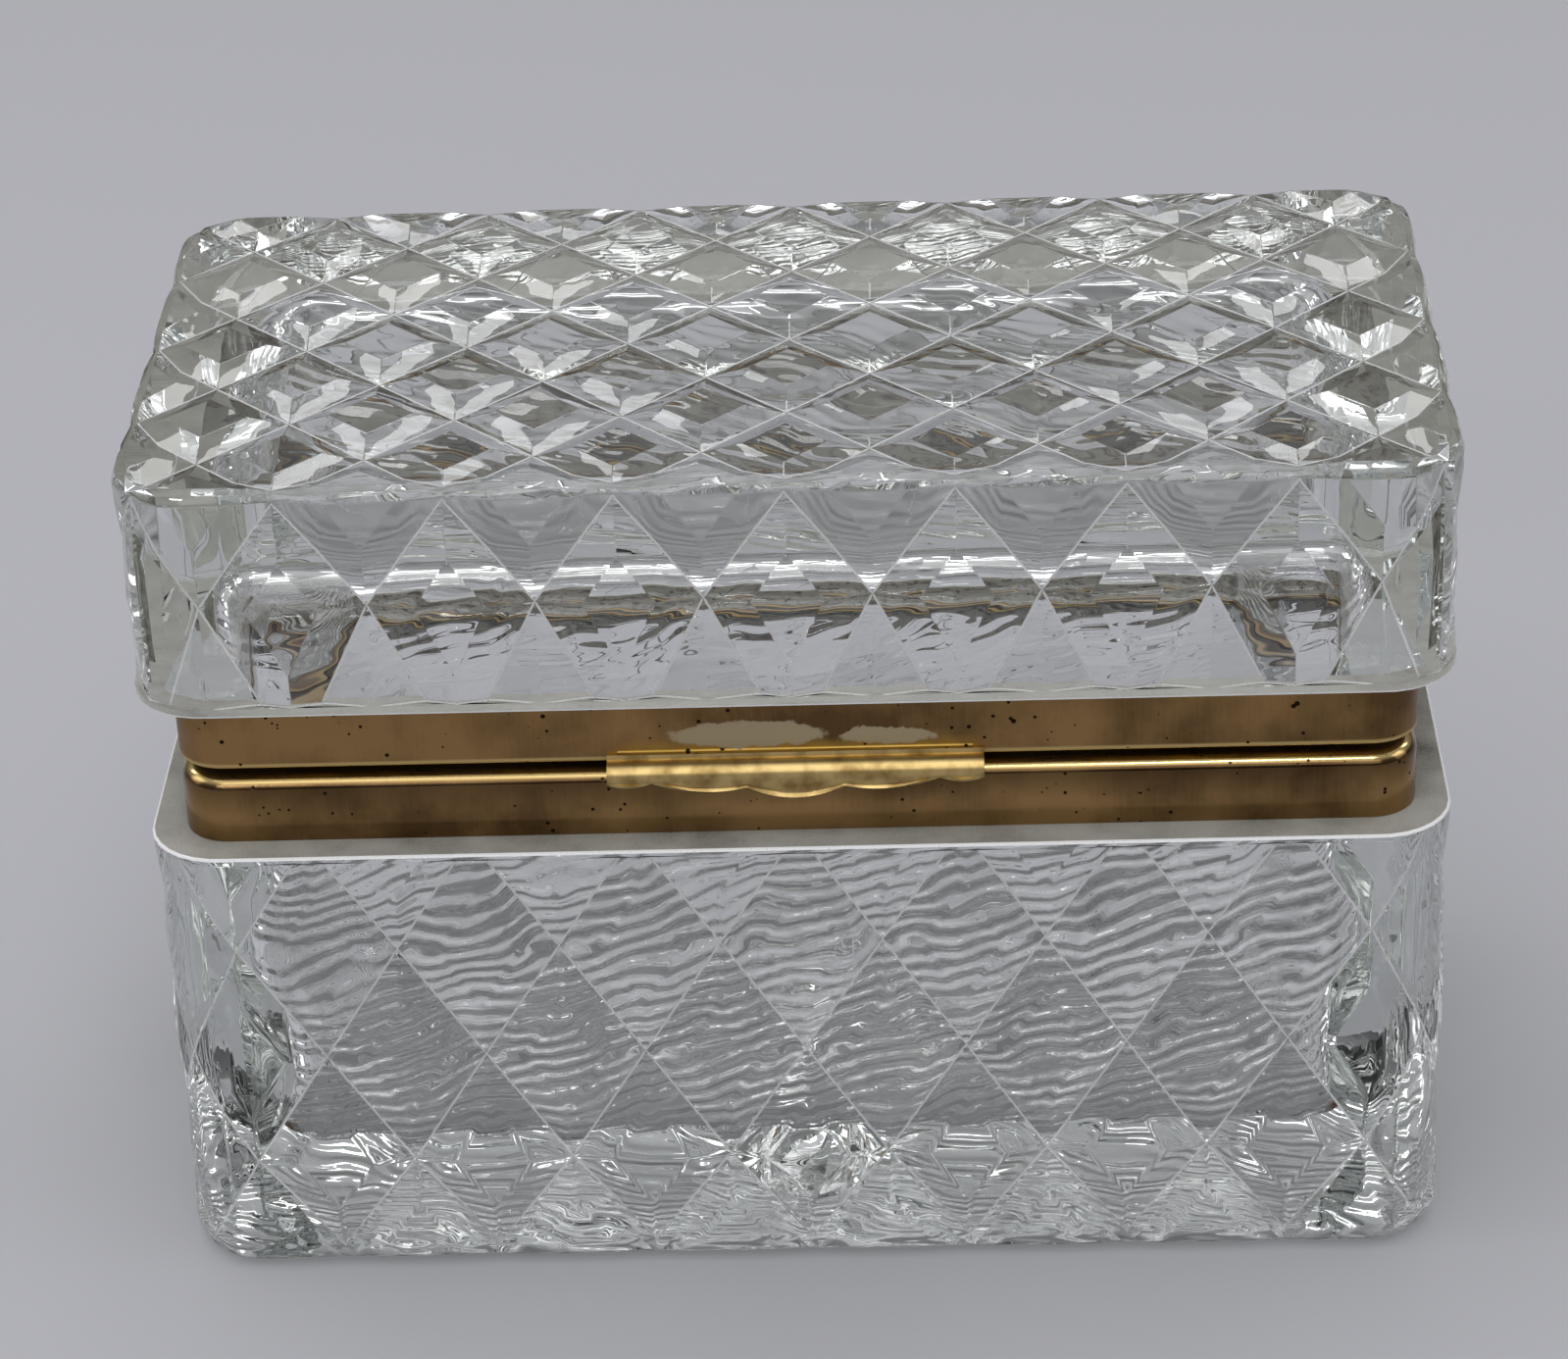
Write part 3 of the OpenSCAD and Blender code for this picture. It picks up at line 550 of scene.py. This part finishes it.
def set_plaster(settings):
    """Plaster of Paris that has taken up dirt and green-brown salts from the brass: matte and blotchy."""
    material, place = new_material("stained_plaster")
    cloud = add_node(material, "ShaderNodeTexNoise", {
        "Scale": 1 / (2.5 * MM), "Detail": 6.0, "Roughness": 0.7, "Vector": place})
    tone = add_node(material, "ShaderNodeValToRGB", {
        "stops": [(0.4, settings.dirty), (0.5, settings.clean)], 0: cloud})
    shader = add_node(material, "ShaderNodeBsdfPrincipled", {"Roughness": 0.95, "Base Color": tone})
    add_node(material, "ShaderNodeOutputMaterial", {"Surface": shader})
    return material


# ---- Pieces ----

def cut_face(face, ledge_z):
    """Whether the face lies on the cut outside of the glass, not on its ledge or its resting face."""
    middle = face.calc_center_median()
    left_flat = abs(middle.z - ledge_z) < NEAR or middle.z < NEAR
    level = abs(face.normal.z) > 0.999 and left_flat
    return not level and (abs(middle.x) > CUT_X or abs(middle.y) > CUT_Y or middle.z > CUT_Z)


def fold(edge):
    """How sharply the edge folds, in degrees: above 0 on a ridge and below 0 in a groove."""
    return math.degrees(edge.calc_face_angle_signed(0)) if len(edge.link_faces) == 2 else 0


def cut_edge(edge, ledge_z, way):
    """Whether the edge is a ridge (way 1) or a groove (way -1) between cut faces that is worth shaping."""
    cut = all(cut_face(face, ledge_z) for face in edge.link_faces)
    return cut and way * fold(edge) > LEAST_FOLD and edge.calc_length() > LEAST_LENGTH


def rim_edge(edge, ledge_z):
    """Whether the edge lies round the outside of the ledge."""
    for vert in edge.verts:
        outer = abs(vert.co.x) > RIM_X or abs(vert.co.y) > RIM_Y
        if abs(vert.co.z - ledge_z) >= 0.01 * MM or not outer:
            return False
    return abs(fold(edge)) > RIM_FOLD


class CASKET_OT_glass(bpy.types.Operator):
    """Makes the base and the lid of cut glass, with every cut edge slightly rounded"""
    bl_idname = "casket.glass"
    bl_label = "Glass"

    def execute(self, context):
        settings = context.scene.casket_glass
        ground = ground_glass(settings)
        groove = unpolished_glass(settings, "unpolished_groove_glass", 0.5)
        rim = unpolished_glass(settings, "unpolished_rim_glass", 0.2)
        for body, clear, ridge in (("base", "stained_soda_lime_glass", settings.soft_edge),
                                   ("lid", "clear_soda_lime_glass", settings.edge)):
            ledge_z = LEDGES[body]
            piece = merged_copy(body + "_glass", body + "_cut_glass")
            for material in (clear_glass(settings, clear, body), ground, groove, rim):
                piece.data.materials.append(material)
            pick(piece, "FACE", lambda face: cut_face(face, ledge_z))
            bpy.ops.mesh.dissolve_limited(angle_limit=math.radians(0.3))
            for test, width, slot in ((lambda edge: cut_edge(edge, ledge_z, -1), settings.groove, GROOVE),
                                      (lambda edge: cut_edge(edge, ledge_z, 1), ridge, None),
                                      (lambda edge: rim_edge(edge, ledge_z), settings.rim, RIM)):
                pick(piece, "EDGE", test)
                bpy.ops.mesh.bevel(offset=width, segments=2, profile=0.5, affect="EDGES", clamp_overlap=False)
                if slot:
                    piece.active_material_index = slot
                    bpy.ops.object.material_slot_assign()
            bpy.ops.mesh.select_all(action="SELECT")
            bpy.ops.mesh.quads_convert_to_tris(quad_method="BEAUTY", ngon_method="BEAUTY")
            bpy.ops.object.mode_set(mode="OBJECT")
            for face in piece.data.polygons:
                if abs(abs(face.normal.z) - 1) < 0.01 and abs(face.center.z - ledge_z) < NEAR:
                    face.material_index = GROUND
            finish_piece(piece, body, body + "_glass", 12)
        return {"FINISHED"}


class CASKET_OT_mounts(bpy.types.Operator):
    """Makes the two brass mounts and the plaster that holds them"""
    bl_idname = "casket.mounts"
    bl_label = "Mounts"

    def execute(self, context):
        settings = context.scene.casket_brass
        # The base mount gets painted shade beside its top edge, and each mount a painted highlight along its
        # rubbed edge.
        brasses = {
            "base": aged_brass(settings, "satin_aged_brass", gloss=0.14, worn_and_highlight_z=65.9 * MM, painted_shade=0.6,
                               seamed=True, soldered=False),
            "lid": aged_brass(settings, "dull_aged_brass", gloss=0.4, worn_and_highlight_z=67.8 * MM, painted_shade=0.0,
                              seamed=True, soldered=True)}
        plaster = set_plaster(context.scene.casket_plaster)
        for body, brass in brasses.items():
            piece = merged_copy(body + "_mount", body + "_brass_mount")
            piece.data.materials.append(brass)
            piece.data.materials.append(plaster)
            # A film of air lies between the sheet's end and the ledge of the glass.
            pick(piece, "VERT", lambda vert: abs(vert.co.z - LEDGES[body]) < 0.02 * MM)
            bpy.ops.transform.translate(value=(0, 0, SHEET_GAP if body == "base" else -SHEET_GAP))
            bpy.ops.object.mode_set(mode="OBJECT")
            # Plaster sticks to the faces towards the glass, up to 64 mm on the base, from 70 mm on the lid.
            for face in piece.data.polygons:
                centre, normal = face.center, face.normal
                beside_glass = centre.z < 64 * MM if body == "base" else centre.z > 70 * MM
                inward = abs(normal.z) < 0.5 and centre.x * normal.x + centre.y * normal.y < 0
                if beside_glass and (inward or abs(normal.z) > 0.9):
                    face.material_index = 1
            finish_piece(piece, body, body + "_mount", 30)
            bed = merged_copy(body + "_plaster", body + "_plaster_bed")
            bed.data.materials.append(plaster)
            # The old plaster has come loose from the glass, so a film of air lies between them.
            pick(bed, "FACE", lambda face: True)
            bpy.ops.transform.shrink_fatten(value=-PLASTER_GAP)
            bpy.ops.object.mode_set(mode="OBJECT")
            finish_piece(bed, body, body + "_plaster", 30)
        return {"FINISHED"}


class CASKET_OT_hinge(bpy.types.Operator):
    """Makes the hinge's two leaves and its pin"""
    bl_idname = "casket.hinge"
    bl_label = "Hinge"

    def execute(self, context):
        settings = context.scene.casket_brass
        brass = aged_brass(settings, "rubbed_hinge_brass", gloss=0.34, worn_and_highlight_z=SEAM_Z, painted_shade=0.0,
                           seamed=False, soldered=False)
        for node, body in (("base_hinge_leaf", "base"), ("lid_hinge_leaf", "lid"), ("hinge_pin", "base")):
            piece = merged_copy(node, node + "_brass")
            piece.data.materials.append(brass)
            finish_piece(piece, body, node, 30)
        return {"FINISHED"}


def tab_low_z(x):
    """Height of the tab's scalloped lower edge at x, in millimetres from the middle of its bulge."""
    # The edge is nowhere higher than this, and five arcs hang below it: each one's middle, the height of its
    # centre and its radius.
    low = -0.45
    for middle, up, radius in ((0, 9.1, 12), (-9.4, 14, 16), (9.4, 14, 16), (-19, 3.9, 5), (19, 3.9, 5)):
        if abs(x - middle) < radius:
            low = min(low, up - math.sqrt(radius ** 2 - (x - middle) ** 2))
    return low


class CASKET_OT_tab(bpy.types.Operator):
    """Makes the thumb tab, a rounded strip with a scalloped lower edge, and its line of solder"""
    bl_idname = "casket.tab"
    bl_label = "Thumb tab"

    def execute(self, context):
        # Lengths are in millimetres. The grid's rows run down the tab's section: a fillet off the lid mount,
        # the round bulge about its axis, and a skirt that leans in and then turns out at its lip.
        columns, fillet, arc, skirt = 180, 5, 16, 12
        rows = fillet + arc + skirt
        length, thick = 43.3, 0.44
        axis_y, axis_z, bulge = -34.6, 66.4, 1.45
        start, end = math.radians(80), math.radians(196)
        fillet_in, fillet_up = 0.18, 0.75
        lean, lip, turn_out, lip_up = 0.25, 0.75, 0.4, 0.1
        bpy.ops.object.select_all(action="DESELECT")
        bpy.ops.mesh.primitive_grid_add(x_subdivisions=columns, y_subdivisions=rows, size=1)
        tab = context.active_object
        tab.name = tab.data.name = "scalloped_thumb_tab"
        for vert in tab.data.vertices:
            x = vert.co.x * (length - thick)
            row = round((0.5 - vert.co.y) * rows)
            turn = start + (end - start) * min(max((row - fillet) / arc, 0), 1)
            y, z = bulge * math.cos(turn), bulge * math.sin(turn)
            if row < fillet:
                left = 1 - row / fillet
                y, z = y + fillet_in * left, z + fillet_up * left ** 2
            elif row > fillet + arc:
                share = (row - fillet - arc) / skirt
                z -= (z - tab_low_z(x) - lip_up) * share
                y += lean * share - turn_out * max(share - lip, 0) / (1 - lip) * share
            vert.co = Vector((x, axis_y + y, axis_z + z)) * MM
        alone(tab)
        wall = tab.modifiers.new("wall", "SOLIDIFY")
        wall.thickness, wall.offset = thick * MM, 0
        edge = tab.modifiers.new("edge", "BEVEL")
        edge.width, edge.segments = 0.16 * MM, 3
        edge.limit_method, edge.angle_limit = "ANGLE", math.radians(50)
        for modifier in ("wall", "edge"):
            bpy.ops.object.modifier_apply(modifier=modifier)
        tab.data.materials.append(bright_brass(context.scene.casket_brass))
        finish_piece(tab, "lid", "thumb_tab", 40)
        NODES["tab_solder"].material_slots[0].material = bpy.data.materials["dull_aged_brass"]
        return {"FINISHED"}


# ---- Stage ----

# Each lamp's name, width and height, place, and radiance. Lengths are in metres.
LAMPS = (
    ("overhead_softbox", (1.0, 0.8), (-0.15, 0.0, 1.1), 1.5),
    ("low_front_softbox", (1.2, 0.6), (0.1, -1.4, 0.75), 1.8),
    ("low_front_lamp", (0.25, 0.08), (-0.5, -1.3, 0.75), 24.0),
    ("high_front_softbox", (0.7, 0.45), (-0.1, -0.9, 1.0), 1.5),
    ("high_front_lamp", (0.3, 0.06), (0.2, -0.8, 1.15), 22.0),
    ("left_softbox", (0.5, 0.7), (-1.0, -0.1, 0.5), 1.5),
    ("right_softbox", (0.5, 0.7), (1.0, -0.2, 0.5), 1.5),
    ("back_lamp_1", (0.22, 0.1), (-0.4, 0.85, 0.95), 4.0),
    ("back_lamp_2", (0.22, 0.1), (0.0, 0.85, 0.95), 4.0),
    ("back_lamp_3", (0.22, 0.1), (0.42, 0.85, 0.95), 4.0),
    ("corner_lamp_1", (0.14, 0.2), (-0.85, 0.45, 0.7), 8.0),
    ("corner_lamp_2", (0.14, 0.2), (0.85, 0.45, 0.7), 8.0),
)
# All lamps face the middle of the box.
BOX_MIDDLE = (0, 0, 0.05)
# The camera was fitted to the photo: its place in millimetres, its turns in degrees and its focal length.
CAMERA_PLACE = (16.361, -496.016, 339.567)
CAMERA_YAW, CAMERA_PITCH, CAMERA_ROLL = -2.142, 29.514, -2.345
FOCAL_LENGTH = 108.31


class CASKET_OT_stage(bpy.types.Operator):
    """Makes the floor, the lamps, the world and the camera"""
    bl_idname = "casket.stage"
    bl_label = "Stage"

    def execute(self, context):
        settings = context.scene.casket_stage
        scene = context.scene
        bpy.ops.object.select_all(action="DESELECT")
        bpy.ops.mesh.primitive_plane_add(size=8, location=(0, 0, -0.1 * MM))
        floor = context.active_object
        floor.name = "floor"
        material = new_material("plain_floor")[0]
        shader = add_node(material, "ShaderNodeBsdfPrincipled", {
            "Base Color": linear(settings.floor), "Roughness": 0.95, "Specular IOR Level": 0.2})
        add_node(material, "ShaderNodeOutputMaterial", {"Surface": shader})
        floor.data.materials.append(material)

        for name, (width, height), place, radiance in LAMPS:
            data = bpy.data.lights.new(name, "AREA")
            data.shape = "RECTANGLE"
            data.size, data.size_y = width, height
            # An area lamp's radiance is its power over pi times its area.
            data.energy = radiance * math.pi * width * height * settings.light
            lamp = bpy.data.objects.new(name, data)
            lamp.location = place
            lamp.rotation_euler = (Vector(BOX_MIDDLE) - Vector(place)).to_track_quat("-Z", "Y").to_euler()
            scene.collection.objects.link(lamp)

        world = bpy.data.worlds.new("studio")
        world.use_nodes = True
        world.node_tree.nodes.clear()
        # The room is dark at its walls and bright at its ceiling.
        direction = add_node(world, "ShaderNodeTexCoord").outputs["Generated"]
        upward = add_node(world, "ShaderNodeSeparateXYZ", {0: direction}).outputs["Z"]
        level = add_node(world, "ShaderNodeMapRange", {
            "From Min": 0.0, "From Max": 0.9, "To Min": 0.08, "To Max": 0.58, "Value": upward})
        glow = add_node(world, "ShaderNodeBackground", {"Color": linear("#fbfcff"), "Strength": level})
        add_node(world, "ShaderNodeOutputWorld", {"Surface": glow})
        scene.world = world

        yaw, pitch, roll = map(math.radians, (CAMERA_YAW, CAMERA_PITCH, CAMERA_ROLL))
        forward = Vector((math.sin(yaw) * math.cos(pitch), math.cos(yaw) * math.cos(pitch), -math.sin(pitch)))
        right = Vector((math.cos(yaw), -math.sin(yaw), 0))
        up = right.cross(forward)
        right_rolled = math.cos(roll) * right + math.sin(roll) * up
        up_rolled = math.cos(roll) * up - math.sin(roll) * right
        turned = Matrix((right_rolled, up_rolled, -forward)).transposed().to_4x4()
        data = bpy.data.cameras.new("camera")
        data.sensor_width = 36
        data.lens = FOCAL_LENGTH
        data.clip_start = 0.01
        camera = bpy.data.objects.new("camera", data)
        camera.matrix_world = Matrix.Translation(Vector(CAMERA_PLACE) * MM) @ turned
        scene.collection.objects.link(camera)
        scene.camera = camera
        scene.view_settings.view_transform = "Standard"
        # Light passes many glass walls on its way.
        scene.cycles.max_bounces = 24
        scene.cycles.glossy_bounces = 16
        scene.cycles.transmission_bounces = 24
        # Lamps shine straight through the glass, so no light has to find its own way through it.
        scene.cycles.caustics_reflective = False
        scene.cycles.caustics_refractive = False
        return {"FINISHED"}


class CASKET_PT_panel(bpy.types.Panel):
    """The casket box's pieces and their settings"""
    bl_idname = "CASKET_PT_panel"
    bl_label = "Casket Box"
    bl_space_type = "VIEW_3D"
    bl_region_type = "UI"
    bl_category = "Casket Box"

    def draw(self, context):
        for group in SETTINGS:
            settings = getattr(context.scene, group)
            for name in settings.bl_rna.properties.keys():
                if name not in ("rna_type", "name"):
                    self.layout.prop(settings, name)
        for piece in PIECES:
            self.layout.operator(piece.bl_idname)


PIECES = (CASKET_OT_glass, CASKET_OT_mounts, CASKET_OT_hinge, CASKET_OT_tab, CASKET_OT_stage)
SETTINGS = {"casket_glass": GlassSettings, "casket_brass": BrassSettings, "casket_plaster": PlasterSettings,
            "casket_stage": StageSettings}


def register():
    """Registers the settings, the operators and the panel."""
    for group in (*SETTINGS.values(), *PIECES, CASKET_PT_panel):
        bpy.utils.register_class(group)
    for name, group in SETTINGS.items():
        setattr(bpy.types.Scene, name, bpy.props.PointerProperty(type=group))


def unregister():
    """Takes the settings, the operators and the panel out again."""
    for name in SETTINGS:
        delattr(bpy.types.Scene, name)
    for group in (CASKET_PT_panel, *PIECES, *SETTINGS.values()):
        bpy.utils.unregister_class(group)


def main():
    """Makes every piece and the stage."""
    register()
    bpy.ops.casket.glass()
    bpy.ops.casket.mounts()
    bpy.ops.casket.hinge()
    bpy.ops.casket.tab()
    bpy.ops.casket.stage()


if __name__ == "__main__":
    main()
